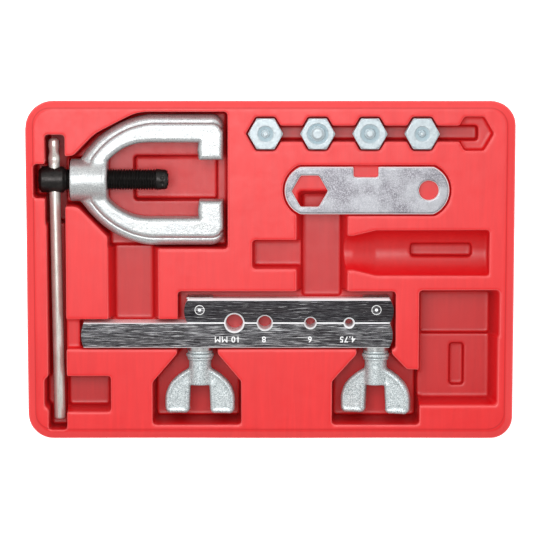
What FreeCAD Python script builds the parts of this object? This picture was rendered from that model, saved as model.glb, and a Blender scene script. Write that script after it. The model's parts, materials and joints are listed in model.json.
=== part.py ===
import FreeCAD, Part
import math
import os

# Tube flaring set in its moulded storage tray. Millimetres, +Z up. The origin is on the tray's
# underside, at the middle of the pocket layout and less than 1 mm from the middle of the tray.
# +X runs along the tray and the flaring bar, and the wing nuts point towards -Y.

V = FreeCAD.Vector
PLAN_UP = V(0, 0, 1)

# Storage tray
TRAY_X = (-136.6, 137.2)
TRAY_Y = (-96.4, 94.8)
TRAY_HEIGHT = 38.0
TRAY_CORNER_R = (14.3, 12.7, 14.2, 15.9)  # south-west, south-east, north-east, north-west
TRAY_SIDE_TAPER = 4.0  # degrees
RIM_BAND = 5.0
RIM_DROP = 1.8
SKIN = 2.0
POCKET_CORNER_R = 1.6

# Forcing screw line: every turned part of the yoke shares this axis, parallel to X
SCREW_Y = 50.0
SCREW_Z = 28.0
SCREW_R = 6.0
SCREW_TIP_X = -57.6
SCREW_TIP_R = 5.4
THREAD_END_X = -64.0
HEAD_X0 = -129.6
HEAD_X1 = -114.8
HEAD_R = 7.4
TOMMY_X = -120.9
TOMMY_R = 3.1
TOMMY_TILT = 0.7  # degrees, the lean that the loose cross hole allows
TOMMY_GAP = 0.15
TOMMY_Y0 = -86.3
TOMMY_Y1 = 73.3
RUNNING_GAP = 0.05

# Yoke
HUB_X0 = -112.4
HUB_X1 = -92.0
HUB_R = 11.3
YOKE_OUTER = 36.5  # half width over the arms
YOKE_INNER = 21.4
FOOT_GAP = 11.0  # half the gap between the feet
FOOT_X0 = -40.0
YOKE_END_X = -26.4
ARM_START_X = -67.0
ARM_HALF_THICK = 7.8
BAND_WIDTH = 5.0
BAND_HALF_THICK = 6.2

# Swivel nose in the hollow end of the screw, which is staked over the nose's groove
NOSE_R = 3.5
NOSE_BORE_DEPTH = 12.0
NOSE_PROUD = 0.5
BALL_R = 2.5
STAKE_BACK = 2.6
STAKE_R = 1.3
STAKE_ANGLES = (75, 110, 255, 290)  # degrees round the screw from +Y

# Flaring bar: two jaws that meet at JAW_SPLIT_Y
BAR_Z0 = 24.0
BAR_THICK = 15.0
BAR_Z1 = BAR_Z0 + BAR_THICK
BAR_AXIS_Z = BAR_Z0 + BAR_THICK / 2
JAW_SPLIT_Y = -29.85
JAW_GAP = 0.1
LONG_JAW_X = (-106.0, 68.9)
LONG_JAW_Y0 = -43.9
SHORT_JAW_X = (-48.2, 69.4)
SHORT_JAW_Y1 = -16.9
END_BULGE = 2.0
HANDLE_BULGE = 1.4
TUBE_HOLES = ((-20.0, 4.85, 5.75), (-2.9, 3.9, 4.6), (22.7, 2.9, 3.6), (44.4, 2.3, 3.2))
COUNTERSINK = 1.2
BOLT_X = (-39.5, 59.7)

# Clamp bolts, washers and wing nuts
BOLT_R = 4.0
BOLT_BODY_R = 5.0
BOLT_END_Y = -63.0
BOLT_HEAD = (14.6, 1.4, 8.0)
BOLT_HEAD_Z = BAR_AXIS_Z - 1.5
CROSS_PIN_R = 2.9
CROSS_PIN_Y = -22.5
BOLT_CLEARANCE = 0.3
WASHER_R = 7.3
WASHER_THICK = 2.2
WING_COLLAR_R = 7.6
WING_COLLAR_LENGTH = 2.8
WING_BARREL_R = 6.4
WING_SPAN = 39.0
WING_GAP = 11.4
WING_U_Y = -65.6
WING_TIP_Y = -82.0
WING_THICK = 6.6
WING_TURN = (-3.0, -13.0)  # degrees about +Y as the nuts were left

# Hexagonal adapters: (name, x, pip radius, cup radius)
HEX_FLATS = 17.0
ADAPTER_Y = 76.3
ADAPTER_PITCH = 29.05
ADAPTER_X0 = -2.5
ADAPTER_ROW = (
    ("adapter_6", 1.85, 4.4),
    ("adapter_10", 3.7, 5.8),
    ("adapter_8", 2.5, 5.3),
    ("adapter_4_75", 1.5, 4.2),
)
HEX_SEATS = 5  # the last seat is empty
HEX_SEAT_GAP = 0.9
ADAPTER_HEIGHT = 9.0
ADAPTER_Z0 = 30.6
SHANK_R = 3.6
SHANK_LENGTH = 6.0
CUP_DEPTH = 2.6

# Spanner
SPANNER_Z0 = 33.6
SPANNER_THICK = 4.6
SPANNER_X = (8.1, 100.2)
SPANNER_Y = (31.2, 57.9)
SPANNER_END_INSET = 9.0
SPANNER_HEX = (22.2, 44.2, 17.5)
SPANNER_ROUND = (88.6, 44.7, 5.5)
SPANNER_NOTCH = (46.6, 60.4, 52.0)


# --- outline helpers -------------------------------------------------------------------------


def rect(x0, x1, y0, y1):
    """Corners of an upright rectangle, anticlockwise."""
    return [(x0, y0), (x1, y0), (x1, y1), (x0, y1)]


def grown(points, distance):
    """An anticlockwise outline with every side moved outwards by distance."""
    result = []
    count = len(points)
    for i in range(count):
        before, here, after = points[i - 1], points[i], points[(i + 1) % count]
        ax, ay = here[0] - before[0], here[1] - before[1]
        bx, by = after[0] - here[0], after[1] - here[1]
        al, bl = math.hypot(ax, ay), math.hypot(bx, by)
        n1 = (ay / al, -ax / al)
        n2 = (by / bl, -bx / bl)
        scale = distance / (1 + n1[0] * n2[0] + n1[1] * n2[1])
        moved = (here[0] + (n1[0] + n2[0]) * scale, here[1] + (n1[1] + n2[1]) * scale)
        result.append(moved + tuple(here[2:]))
    return result


def rounded_edges(points, z, radius):
    """The edges around an outline; a corner's third number is its own radius."""
    corners = [V(point[0], point[1], z) for point in points]
    radii = [point[2] if len(point) > 2 else radius for point in points]
    edges = []
    starts, ends, mids = [], [], []
    for i, here in enumerate(corners):
        to_before = (corners[i - 1] - here).normalize()
        to_after = (corners[(i + 1) % len(corners)] - here).normalize()
        half = to_before.getAngle(to_after) / 2
        reach = radii[i] / math.tan(half)
        middle = (to_before + to_after).normalize()
        starts.append(here + to_before * reach)
        ends.append(here + to_after * reach)
        mids.append(here + middle * (radii[i] / math.sin(half) - radii[i]))
    for i in range(len(corners)):
        edges.append(Part.Arc(starts[i], mids[i], ends[i]).toShape())
        edges.append(Part.LineSegment(ends[i], starts[(i + 1) % len(corners)]).toShape())
    return edges


def tapered(points, low, high, low_grow, high_grow, radius):
    """A solid between an outline at two heights, each grown by its own amount."""
    bottom = rounded_edges(grown(points, low_grow), low, radius)
    top = rounded_edges(grown(points, high_grow), high, radius)
    return ruled(bottom, top)


def ruled(bottom, top):
    """A solid between two level chains of arcs and lines, joined pair by pair."""
    faces = [Part.Face(Part.Wire(bottom)), Part.Face(Part.Wire(top))]
    for below, over in zip(bottom[::2], top[::2]):
        faces.append(Part.makeRuledSurface(below, over))
    for below, over in zip(bottom[1::2], top[1::2]):
        a, b = [v.Point for v in below.Vertexes]
        c, d = [v.Point for v in over.Vertexes]
        faces.append(Part.Face(Part.makePolygon([a, b, d, c, a])))
    shell = Part.makeShell(faces)
    shell.sewShape()
    solid = Part.makeSolid(shell)
    if solid.Volume < 0:
        solid.reverse()
    return solid


def prism(points, z0, z1):
    """A straight prism with sharp corners."""
    corners = [V(x, y, z0) for x, y in points]
    return Part.Face(Part.makePolygon(corners + corners[:1])).extrude(V(0, 0, z1 - z0))


def path_face(start, steps, z):
    """A face bounded by lines (x, y) and arcs (via x, via y, x, y), closed with a line if open."""
    edges = []
    here = V(start[0], start[1], z)
    for step in steps:
        there = V(step[-2], step[-1], z)
        if len(step) == 4:
            edges.append(Part.Arc(here, V(step[0], step[1], z), there).toShape())
        else:
            edges.append(Part.LineSegment(here, there).toShape())
        here = there
    first = V(start[0], start[1], z)
    if here.distanceToPoint(first) > 0.001:
        edges.append(Part.LineSegment(here, first).toShape())
    return Part.Face(Part.Wire(edges))


def x_cylinder(radius, x0, x1, y=SCREW_Y, z=SCREW_Z):
    return Part.makeCylinder(radius, x1 - x0, V(x0, y, z), V(1, 0, 0))


def y_cylinder(radius, x, y0, y1, z):
    return Part.makeCylinder(radius, y1 - y0, V(x, y0, z), V(0, 1, 0))


def hex_outline(x, y, flats):
    """Corners of a hexagon with points to the left and right."""
    reach = flats / math.sqrt(3)
    turns = [math.radians(60 * i) for i in range(6)]
    return [(x + reach * math.cos(a), y + reach * math.sin(a)) for a in turns]


def hexagon(x, y, flats, z0, z1):
    return prism(hex_outline(x, y, flats), z0, z1)


# --- storage tray ----------------------------------------------------------------------------


def pocket(points, floor, draft=3.0, radius=POCKET_CORNER_R, skin=0.0):
    """The air in a pocket whose rim is the outline; skin adds the wall thickness all round."""
    slope = math.tan(math.radians(draft))
    above = 1.0
    top = TRAY_HEIGHT + above
    floor_grow = skin - (TRAY_HEIGHT - floor) * slope
    return tapered(points, floor - skin, top, floor_grow, skin + above * slope, radius)


def leaning_pocket(rim, base, floor, skin=0.0):
    """The air in a pocket whose walls lean by different amounts, from its rim to its floor."""
    rings = []
    for z in (floor - skin, TRAY_HEIGHT + 1.0):
        part = (z - floor) / (TRAY_HEIGHT - floor)
        corners = [(b[0] + (r[0] - b[0]) * part, b[1] + (r[1] - b[1]) * part) for b, r in zip(base, rim)]
        rings.append(rounded_edges(grown(corners, skin), z, POCKET_CORNER_R))
    return ruled(rings[0], rings[1])


def trough(x0, x1, y, half_width, skin=0.0):
    """The air in a half-round trough along X."""
    return x_cylinder(half_width + skin, x0 - skin, x1 + skin, y, TRAY_HEIGHT)


def flared_trough(x0, x1, y, half_width0, half_width1, skin=0.0):
    """The air in a half-round trough that widens along X."""
    return Part.makeCone(half_width0 + skin, half_width1 + skin, x1 - x0, V(x0, y, TRAY_HEIGHT), V(1, 0, 0))


HANDLE_SLOT = rect(-124.9, -114.5, -91.2, 70.0)
SWING_PIT = rect(-125.6, -114.5, 24.5, 75.7)
HEAD_POCKET = rect(-132.0, -114.0, 40.3, 59.4)
LEFT_FINGER = [
    (-127.2, -77.5),
    (-123.2, -81.5),
    (-117.0, -81.5),
    (-117.0, -58.5),
    (-123.2, -58.5),
    (-127.2, -62.5),
]
RIGHT_FINGER = rect(-116.0, -89.6, -80.9, -60.3)
YOKE_POCKET = [
    (-107.9, 35.6, 5.0),
    (-90.9, 18.5),
    (-90.9, 11.7),
    (-23.7, 11.7),
    (-23.7, 88.4),
    (-74.0, 88.4, 25.0),
    (-98.0, 76.2, 25.0),
    (-109.8, 64.0, 5.0),
    (-116.0, 63.6),
    (-116.0, 35.6),
]
YOKE_PIT = rect(-78.0, -28.4, 36.3, 63.8)
HUB_CRADLE = rect(-114.0, -91.0, 37.6, 62.4)
CHANNEL_LEFT = rect(-90.9, -62.5, -33.0, 30.0)
BAR_POCKET = rect(-51.7, 70.6, -45.0, -12.3)
BAR_HANDLE_POCKET = rect(-107.2, -45.0, -45.0, -28.0)
SADDLE = rect(-116.0, -104.0, -45.0, -28.0)
WING_POCKET_LEFT = [
    (-66.1, -88.2),
    (-16.2, -88.2),
    (-16.2, -63.4),
    (-29.5, -47.6),
    (-29.5, -42.0),
    (-52.1, -42.0),
    (-52.1, -47.6),
    (-66.1, -64.0),
]
WING_POCKET_RIGHT = [
    (34.9, -88.2),
    (84.2, -88.2),
    (84.2, -56.6),
    (77.3, -56.6),
    (68.6, -47.6),
    (68.6, -42.0),
    (48.7, -42.0),
    (48.7, -47.9),
    (34.9, -63.4),
]
CUTTER_HEAD = rect(-10.0, 20.0, 0.4, 16.8)
CHANNEL_RIGHT = rect(14.6, 43.7, -20.0, 45.2)
TROUGH_Y = 9.4
TROUGH_R = 12.9
TROUGH_X = (59.0, 122.6)
THROAT_R = 9.8
THROAT_X = (40.0, 47.0)
TROUGH_SLOT = rect(78.4, 114.2, 5.6, 14.2)
SQUARE_RIM = rect(83.7, 128.4, -77.3, -11.6)
SQUARE_BASE = rect(84.8, 124.0, -74.4, -13.8)
SQUARE_FLOOR = 22.0
STEP_RIM = rect(83.7, 129.1, -38.6, -11.6)
STEP_BASE = rect(85.2, 124.2, -38.0, -14.4)
STEP_FLOOR = 18.0
SQUARE_LINK = rect(80.0, 92.0, -75.0, -58.0)
SQUARE_SLOT = rect(101.0, 110.8, -68.6, -42.8)
ADAPTER_SLOT = rect(ADAPTER_X0 - 4.0, 116.3, ADAPTER_Y - 4.3, ADAPTER_Y + 4.3)


def spanner_outline(margin):
    """The spanner's outline as a rounded bar, grown by a margin."""
    middle = (SPANNER_Y[0] + SPANNER_Y[1]) / 2
    y0, y1 = SPANNER_Y[0] - margin, SPANNER_Y[1] + margin
    inset = SPANNER_END_INSET
    x0, x1 = SPANNER_X[0] - margin, SPANNER_X[1] + margin
    steps = [(x1 - inset, y0), (x1, middle, x1 - inset, y1), (x0 + inset, y1), (x0, middle, x0 + inset, y0)]
    return (x0 + inset, y0), steps


def spanner_pocket(skin):
    start, steps = spanner_outline(0.9 + skin)
    face = path_face(start, steps, SPANNER_Z0 - 0.1 - skin)
    return face.extrude(V(0, 0, TRAY_HEIGHT))


def pockets(skin):
    """Every pocket of the tray as solids of air, grown by a wall thickness."""
    air = [
        pocket(HANDLE_SLOT, 20.0, 2.0, skin=skin),
        pocket(SWING_PIT, 2 * SKIN, 0.3, skin=skin),
        pocket(HEAD_POCKET, 19.8, 2.0, skin=skin),
        pocket(LEFT_FINGER, 20.0, 4.0, skin=skin, radius=1.0),
        pocket(RIGHT_FINGER, 20.0, 6.0, skin=skin),
        pocket(YOKE_POCKET, 19.9, 3.0, skin=skin, radius=1.5),
        pocket(YOKE_PIT, 12.0, 4.0, skin=skin),
        pocket(HUB_CRADLE, 16.3, 2.0, skin=skin),
        pocket(CHANNEL_LEFT, 21.9, 13.0, skin=skin),
        pocket(BAR_POCKET, BAR_Z0 - 0.1, 1.0, skin=skin),
        pocket(BAR_HANDLE_POCKET, BAR_Z0 - 0.1, 1.0, skin=skin),
        pocket(SADDLE, 32.0, 3.0, skin=skin),
        pocket(WING_POCKET_LEFT, 11.0, 3.0, skin=skin),
        pocket(WING_POCKET_RIGHT, 11.0, 3.0, skin=skin),
        pocket(CUTTER_HEAD, 26.0, 5.0, skin=skin),
        pocket(CHANNEL_RIGHT, 21.9, 14.0, skin=skin),
        trough(TROUGH_X[0], TROUGH_X[1], TROUGH_Y, TROUGH_R, skin),
        trough(THROAT_X[0], THROAT_X[1], TROUGH_Y, THROAT_R, skin),
        flared_trough(THROAT_X[1] - 0.5, TROUGH_X[0] + 0.5, TROUGH_Y, THROAT_R, TROUGH_R, skin),
        pocket(TROUGH_SLOT, 21.0, 3.0, skin=skin),
        leaning_pocket(SQUARE_RIM, SQUARE_BASE, SQUARE_FLOOR, skin),
        leaning_pocket(STEP_RIM, STEP_BASE, STEP_FLOOR, skin),
        pocket(SQUARE_LINK, SQUARE_FLOOR, 5.0, skin=skin),
        pocket(SQUARE_SLOT, 18.0, 3.0, skin=skin),
        pocket(ADAPTER_SLOT, 23.6, 1.5, skin=skin),
        spanner_pocket(skin),
    ]
    for i in range(HEX_SEATS):
        seat = hex_outline(ADAPTER_X0 + i * ADAPTER_PITCH, ADAPTER_Y, HEX_FLATS + 2 * HEX_SEAT_GAP)
        air.append(pocket(seat, ADAPTER_Z0 - 0.1, 2.5, skin=skin, radius=0.4))
    return air


def tray_ring(inset, z):
    """The tray's outline, moved inwards by inset."""
    corners = rect(TRAY_X[0] + inset, TRAY_X[1] - inset, TRAY_Y[0] + inset, TRAY_Y[1] - inset)
    points = [corner + (radius - inset,) for corner, radius in zip(corners, TRAY_CORNER_R)]
    return rounded_edges(points, z, 0.0)


def tray_block(inset):
    """The tray's closed outer form, moved inwards by inset."""
    side = math.tan(math.radians(TRAY_SIDE_TAPER))
    rim = TRAY_HEIGHT - RIM_DROP
    edge = tray_ring(inset, rim - inset * 0.5)
    body = ruled(tray_ring(inset + rim * side, inset), edge)
    return body.fuse(ruled(edge, tray_ring(inset + RIM_BAND, TRAY_HEIGHT - inset)))


def storage_tray():
    """A blow-moulded tray: a thin double skin around sealed air."""
    forms = []
    for skin in (0.0, SKIN):
        air = pockets(skin)
        forms.append(tray_block(skin).cut(air[0].multiFuse(air[1:])))
    return forms[0].cut(forms[1])


# --- yoke and forcing screw ------------------------------------------------------------------


def yoke_half(side, band, half_thick):
    """One arm of the yoke, side +1 or -1; band trims the outline in from the outer edge."""
    outer = YOKE_OUTER - band
    end = YOKE_END_X - band * 0.25
    corner = 6.5

    def at(x, v):
        return (x, SCREW_Y + side * v)

    start = at(-101.5 + band * 1.15, 4.0)
    steps = [
        at(-104.0 + band * 1.15, 11.5),
        at(-90.0 + band * 0.42, 27.6 - band * 0.75) + at(ARM_START_X, outer),
        at(end - corner, outer),
        at(end - corner * 0.3, outer - corner * 0.3) + at(end, outer - corner),
        at(end, FOOT_GAP),
        at(FOOT_X0 - 0.6, FOOT_GAP),
        at(FOOT_X0 + 0.6, YOKE_INNER),
        at(ARM_START_X, YOKE_INNER),
        at(-82.5, 17.4) + at(-92.4, 9.0),
        at(-93.0, 4.0),
    ]
    face = path_face(start, steps, SCREW_Z - half_thick)
    return face.extrude(V(0, 0, 2 * half_thick))


def yoke():
    """Forged C-shaped yoke: two arms with a lower outer band, feet and a tapped hub."""
    body = x_cylinder(HUB_R, HUB_X0, HUB_X1)
    body = body.makeChamfer(0.8, [e for e in body.Edges if e.BoundBox.XLength < 0.01])
    arms = []
    for side in (1, -1):
        arms.append(yoke_half(side, 0.0, BAND_HALF_THICK))
        arms.append(yoke_half(side, BAND_WIDTH, ARM_HALF_THICK))
    body = body.multiFuse(arms).removeSplitter()
    return body.cut(x_cylinder(SCREW_R + RUNNING_GAP, HUB_X0 - 1, HUB_X1 + 8))


def stake_marks():
    """Punch marks round the screw's hollow end."""
    marks = []
    for angle in STAKE_ANGLES:
        y = SCREW_Y + SCREW_R * math.cos(math.radians(angle))
        z = SCREW_Z + SCREW_R * math.sin(math.radians(angle))
        marks.append(Part.makeSphere(STAKE_R, V(SCREW_TIP_X - STAKE_BACK, y, z)))
    return marks


def forcing_screw():
    """Screw with a cross-bored head, a neck and a hollow end staked over the nose."""
    profile = [
        (HEAD_X0, 0.0),
        (HEAD_X0, HEAD_R - 1.8),
        (HEAD_X0 + 1.8, HEAD_R),
        (HEAD_X1 - 1.2, HEAD_R),
        (HEAD_X1, HEAD_R - 1.2),
        (HEAD_X1, SCREW_R),
        (THREAD_END_X, SCREW_R),
        (SCREW_TIP_X, SCREW_TIP_R),
        (SCREW_TIP_X, 0.0),
    ]
    points = [V(x, SCREW_Y + r, SCREW_Z) for x, r in profile]
    face = Part.Face(Part.makePolygon(points + points[:1]))
    body = face.revolve(V(0, SCREW_Y, SCREW_Z), V(1, 0, 0), 360)
    y0, y1 = SCREW_Y - HEAD_R - 1, SCREW_Y + HEAD_R + 1
    body = body.cut(y_cylinder(TOMMY_R + TOMMY_GAP, TOMMY_X, y0, y1, SCREW_Z))
    bore_r = NOSE_R + RUNNING_GAP
    floor_x = SCREW_TIP_X - NOSE_BORE_DEPTH
    bore = x_cylinder(bore_r, floor_x, SCREW_TIP_X + 1)
    point = Part.makeCone(0, bore_r, 2.2, V(floor_x - 2.2, SCREW_Y, SCREW_Z), V(1, 0, 0))
    return body.cut(bore.fuse(point)).cut(stake_marks())


def swivel_nose():
    """Loose button in the screw's end; its groove keeps it in and its back is dished for the ball."""
    x0 = SCREW_TIP_X - NOSE_BORE_DEPTH + 2 * BALL_R - 0.8
    body = x_cylinder(NOSE_R, x0, SCREW_TIP_X + NOSE_PROUD)
    groove_x = SCREW_TIP_X - STAKE_BACK
    groove = x_cylinder(NOSE_R + 1, groove_x - 0.8, groove_x + 0.8)
    body = body.cut(groove.cut(x_cylinder(NOSE_R - 0.6, x0 - 1, SCREW_TIP_X + 1)))
    return body.cut(Part.makeSphere(BALL_R + RUNNING_GAP, V(ball_x(), SCREW_Y, SCREW_Z)))


def ball_x():
    """Where the ball's centre sits, just clear of the bore's conical floor."""
    return SCREW_TIP_X - NOSE_BORE_DEPTH + 1.75


def thrust_ball():
    return Part.makeSphere(BALL_R, V(ball_x(), SCREW_Y, SCREW_Z))


def tommy_bar():
    """Sliding cross handle, pinched near its short end so that it can't drop out."""
    profile = [
        (TOMMY_Y0, 0.0),
        (TOMMY_Y0, TOMMY_R - 0.9),
        (TOMMY_Y0 + 0.9, TOMMY_R),
        (TOMMY_Y1 - 14.0, TOMMY_R),
        (TOMMY_Y1 - 12.8, TOMMY_R + 0.3),
        (TOMMY_Y1 - 11.0, TOMMY_R + 0.3),
        (TOMMY_Y1 - 8.0, TOMMY_R - 0.4),
        (TOMMY_Y1 - 4.0, TOMMY_R),
        (TOMMY_Y1 - 1.2, TOMMY_R - 0.3),
        (TOMMY_Y1, TOMMY_R - 1.5),
        (TOMMY_Y1, 0.0),
    ]
    points = [V(TOMMY_X + r, y, SCREW_Z) for y, r in profile]
    face = Part.Face(Part.makePolygon(points + points[:1]))
    bar = face.revolve(V(TOMMY_X, 0, SCREW_Z), V(0, 1, 0), 360)
    return bar.rotate(V(TOMMY_X, SCREW_Y, SCREW_Z), PLAN_UP, TOMMY_TILT)


# --- flaring bar -----------------------------------------------------------------------------


def tube_holes():
    """The tube grips with their countersunk top mouths, shared by the two jaws."""
    cuts = []
    for x, radius, mouth in TUBE_HOLES:
        cuts.append(Part.makeCylinder(radius, BAR_THICK + 2, V(x, JAW_SPLIT_Y, BAR_Z0 - 1)))
        cuts.append(Part.makeCone(radius, mouth, COUNTERSINK, V(x, JAW_SPLIT_Y, BAR_Z1 - COUNTERSINK)))
    return cuts


def jaw_block(ends, y0, y1, left_bulge):
    """A jaw blank whose ends are shallow arcs."""
    middle = (y0 + y1) / 2
    x0, x1 = ends[0] + left_bulge, ends[1] - END_BULGE
    steps = [(x1, y0), (ends[1], middle, x1, y1), (x0, y1), (ends[0], middle, x0, y0)]
    block = path_face((x0, y0), steps, BAR_Z0).extrude(V(0, 0, BAR_THICK))
    return block.makeChamfer(0.35, [e for e in block.Edges if is_long_x_edge(e)])


def is_long_x_edge(edge):
    box = edge.BoundBox
    return box.XLength > 50 and box.YLength < 0.01 and box.ZLength < 0.01


def long_jaw():
    """Jaw that runs on as the bar's handle, with clearance holes for the clamp bolts."""
    body = jaw_block(LONG_JAW_X, LONG_JAW_Y0, JAW_SPLIT_Y - JAW_GAP / 2, HANDLE_BULGE)
    body = body.cut(tube_holes())
    hole_r = BOLT_R + BOLT_CLEARANCE
    for x in BOLT_X:
        body = body.cut(y_cylinder(hole_r, x, LONG_JAW_Y0 - 1, JAW_SPLIT_Y + 1, BAR_AXIS_Z))
    return body


def short_jaw():
    """Jaw that carries the two clamp bolts."""
    body = jaw_block(SHORT_JAW_X, JAW_SPLIT_Y + JAW_GAP / 2, SHORT_JAW_Y1, END_BULGE)
    body = body.cut(tube_holes())
    for x in BOLT_X:
        body = body.cut(y_cylinder(BOLT_BODY_R, x, JAW_SPLIT_Y - 1, SHORT_JAW_Y1 + 1, BAR_AXIS_Z))
        body = body.cut(Part.makeCylinder(CROSS_PIN_R, BAR_THICK + 2, V(x, CROSS_PIN_Y, BAR_Z0 - 1)))
    return body


def clamp_bolt(x):
    """T-headed bolt, pinned across inside the short jaw."""
    width, proud, height = BOLT_HEAD
    head = Part.makeBox(width, proud, height, V(x - width / 2, SHORT_JAW_Y1, BOLT_HEAD_Z - height / 2))
    front = SHORT_JAW_Y1 + proud
    head = head.makeChamfer(0.5, [e for e in head.Edges if abs(e.CenterOfMass.y - front) < 0.01])
    shoulder_y = JAW_SPLIT_Y + JAW_GAP / 2 + 0.4
    body = y_cylinder(BOLT_BODY_R, x, shoulder_y, SHORT_JAW_Y1, BAR_AXIS_Z)
    shank = y_cylinder(BOLT_R, x, BOLT_END_Y, shoulder_y, BAR_AXIS_Z)
    pin_hole = Part.makeCylinder(CROSS_PIN_R, BAR_THICK + 2, V(x, CROSS_PIN_Y, BAR_Z0 - 1))
    return head.multiFuse([body, shank]).cut(pin_hole)


def cross_pin(x):
    """Riveted pin through the short jaw and the bolt, with a centre mark on top."""
    pin = Part.makeCylinder(CROSS_PIN_R, BAR_THICK, V(x, CROSS_PIN_Y, BAR_Z0))
    return pin.cut(Part.makeCone(0, 0.9, 0.9, V(x, CROSS_PIN_Y, BAR_Z1 - 0.9)))


def washer(x):
    """Washer between the long jaw and a wing nut."""
    ring = y_cylinder(WASHER_R, x, LONG_JAW_Y0 - WASHER_THICK, LONG_JAW_Y0, BAR_AXIS_Z)
    return ring.cut(y_cylinder(BOLT_R + BOLT_CLEARANCE, x, LONG_JAW_Y0 - 4, LONG_JAW_Y0 + 1, BAR_AXIS_Z))


def wing_plate(x, side):
    """One wing: broad, with a rounded shoulder and a square-ended tip."""
    inner, outer = WING_GAP / 2, WING_SPAN / 2

    def at(u, y):
        return (x + side * u, y)

    steps = [
        at(5.0, -56.0),
        at(15.6, -62.4) + at(outer, -71.5),
        at(outer - 0.5, WING_TIP_Y + 3.0),
        at(outer - 1.8, WING_TIP_Y + 0.6) + at(outer - 4.5, WING_TIP_Y),
        at(inner + 1.5, WING_TIP_Y),
        at(inner, WING_TIP_Y + 1.5),
        at(inner, WING_U_Y),
        at(0.0, WING_U_Y),
    ]
    face = path_face(at(0.0, -56.0), steps, BAR_AXIS_Z - WING_THICK / 2)
    return face.extrude(V(0, 0, WING_THICK))


def wing_nut(x, turn):
    """Forged wing nut: collar, barrel and two wings, turned about its bolt."""
    collar_y = LONG_JAW_Y0 - WASHER_THICK - 0.1
    collar = y_cylinder(WING_COLLAR_R, x, collar_y - WING_COLLAR_LENGTH, collar_y, BAR_AXIS_Z)
    barrel = y_cylinder(WING_BARREL_R, x, WING_U_Y, collar_y, BAR_AXIS_Z)
    body = collar.multiFuse([barrel, wing_plate(x, 1), wing_plate(x, -1)])
    body = body.cut(y_cylinder(BOLT_R + RUNNING_GAP, x, WING_U_Y - 1, collar_y + 1, BAR_AXIS_Z))
    return body.rotate(V(x, 0, BAR_AXIS_Z), V(0, 1, 0), turn)


# --- adapters and spanner --------------------------------------------------------------------


def adapter(x, pip_r, cup_r):
    """Hexagonal flaring adapter: a cupped top with a pip, and a plain shank below."""
    top = ADAPTER_Z0 + ADAPTER_HEIGHT
    body = hexagon(x, ADAPTER_Y, HEX_FLATS, ADAPTER_Z0, top)
    bevel_r = HEX_FLATS / 2 + 0.2
    bevel = Part.makeCone(bevel_r + 2 * ADAPTER_HEIGHT, bevel_r, ADAPTER_HEIGHT, V(x, ADAPTER_Y, ADAPTER_Z0))
    body = body.common(bevel)
    cup = Part.makeCone(pip_r + 0.6, cup_r, CUP_DEPTH, V(x, ADAPTER_Y, top - CUP_DEPTH))
    body = body.cut(cup)
    pip = Part.makeCylinder(pip_r, CUP_DEPTH + 0.3, V(x, ADAPTER_Y, top - CUP_DEPTH))
    pip_tip = Part.makeCone(pip_r, pip_r * 0.7, 0.7, V(x, ADAPTER_Y, top + 0.3))
    shank = Part.makeCylinder(SHANK_R, SHANK_LENGTH, V(x, ADAPTER_Y, ADAPTER_Z0 - SHANK_LENGTH))
    return body.multiFuse([pip, pip_tip, shank]).removeSplitter()


def spanner():
    """Flat spanner: hexagon hole, open notch and round hole, with eased edges."""
    start, steps = spanner_outline(0.0)
    plate = path_face(start, steps, SPANNER_Z0).extrude(V(0, 0, SPANNER_THICK))
    rim = [e for e in plate.Edges if e.BoundBox.ZLength < 0.01]
    plate = plate.makeChamfer(0.7, rim)
    x, y, flats = SPANNER_HEX
    plate = plate.cut(hexagon(x, y, flats, SPANNER_Z0 - 1, SPANNER_Z0 + SPANNER_THICK + 1))
    x, y, radius = SPANNER_ROUND
    plate = plate.cut(Part.makeCylinder(radius, SPANNER_THICK + 2, V(x, y, SPANNER_Z0 - 1)))
    x0, x1, bottom = SPANNER_NOTCH
    notch = rect(x0, x1, bottom, SPANNER_Y[1] + 5)
    return plate.cut(tapered(notch, SPANNER_Z0 - 1, SPANNER_Z0 + SPANNER_THICK + 1, 0, 0, 1.2))


# --- files -----------------------------------------------------------------------------------


def all_parts():
    parts = {
        "storage_tray": storage_tray(),
        "yoke": yoke(),
        "forcing_screw": forcing_screw(),
        "swivel_nose": swivel_nose(),
        "thrust_ball": thrust_ball(),
        "tommy_bar": tommy_bar(),
        "long_jaw": long_jaw(),
        "short_jaw": short_jaw(),
        "spanner": spanner(),
    }
    for side, x, turn in zip(("left", "right"), BOLT_X, WING_TURN):
        parts["clamp_bolt_" + side] = clamp_bolt(x)
        parts["cross_pin_" + side] = cross_pin(x)
        parts["washer_" + side] = washer(x)
        parts["wing_nut_" + side] = wing_nut(x, turn)
    for i, (name, pip_r, cup_r) in enumerate(ADAPTER_ROW):
        parts[name] = adapter(ADAPTER_X0 + i * ADAPTER_PITCH, pip_r, cup_r)
    return parts


os.makedirs("parts", exist_ok=True)
for name, shape in all_parts().items():
    shape.exportStep("parts/" + name + ".step")
    box = shape.BoundBox
    print(name, shape.isValid(), len(shape.Solids), round(shape.Volume / 1000, 2), "cm3",
          [round(v, 1) for v in (box.XMin, box.XMax, box.YMin, box.YMax, box.ZMin, box.ZMax)])
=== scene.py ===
import json
import math

import bmesh
import bpy
import numpy as np
import openvdb
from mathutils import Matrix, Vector, noise


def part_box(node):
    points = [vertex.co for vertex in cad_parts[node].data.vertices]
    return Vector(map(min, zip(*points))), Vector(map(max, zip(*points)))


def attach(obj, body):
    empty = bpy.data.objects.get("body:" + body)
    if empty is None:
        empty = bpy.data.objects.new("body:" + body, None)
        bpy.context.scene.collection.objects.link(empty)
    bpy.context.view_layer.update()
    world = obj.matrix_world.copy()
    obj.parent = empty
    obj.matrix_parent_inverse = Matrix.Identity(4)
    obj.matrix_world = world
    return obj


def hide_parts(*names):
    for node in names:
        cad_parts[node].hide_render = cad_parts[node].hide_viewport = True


MM = 0.001

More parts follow.
